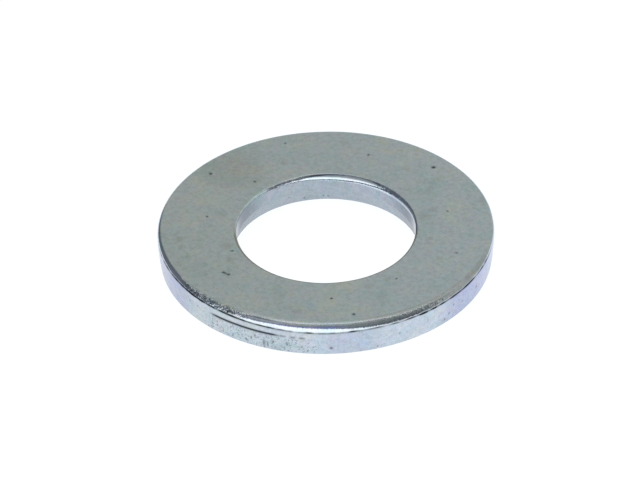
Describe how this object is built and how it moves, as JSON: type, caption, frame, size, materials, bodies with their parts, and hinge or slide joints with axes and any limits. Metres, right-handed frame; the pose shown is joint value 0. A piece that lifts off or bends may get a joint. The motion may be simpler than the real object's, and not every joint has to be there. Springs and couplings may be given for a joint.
{
  "type": "flat washer",
  "caption": "Flat round zinc-plated steel washer for an M10 bolt, stamped from sheet, with rolled-over upper edges.",
  "frame": {"origin": "on the axis of the hole, in the plane of the lower face, which the washer rests on", "axes": "+Z along the axis of the hole, out of the upper face, whose edges are rolled over; X and Y are free, because the ring is round"},
  "size_m": [0.0198, 0.0198, 0.002],
  "materials": {
    "zinc_plate": "satin bright zinc plating on stamped steel, faintly mottled, with small dents"
  },
  "bodies": {
    "root": {"washer": "zinc_plate"}
  },
  "joints": []
}
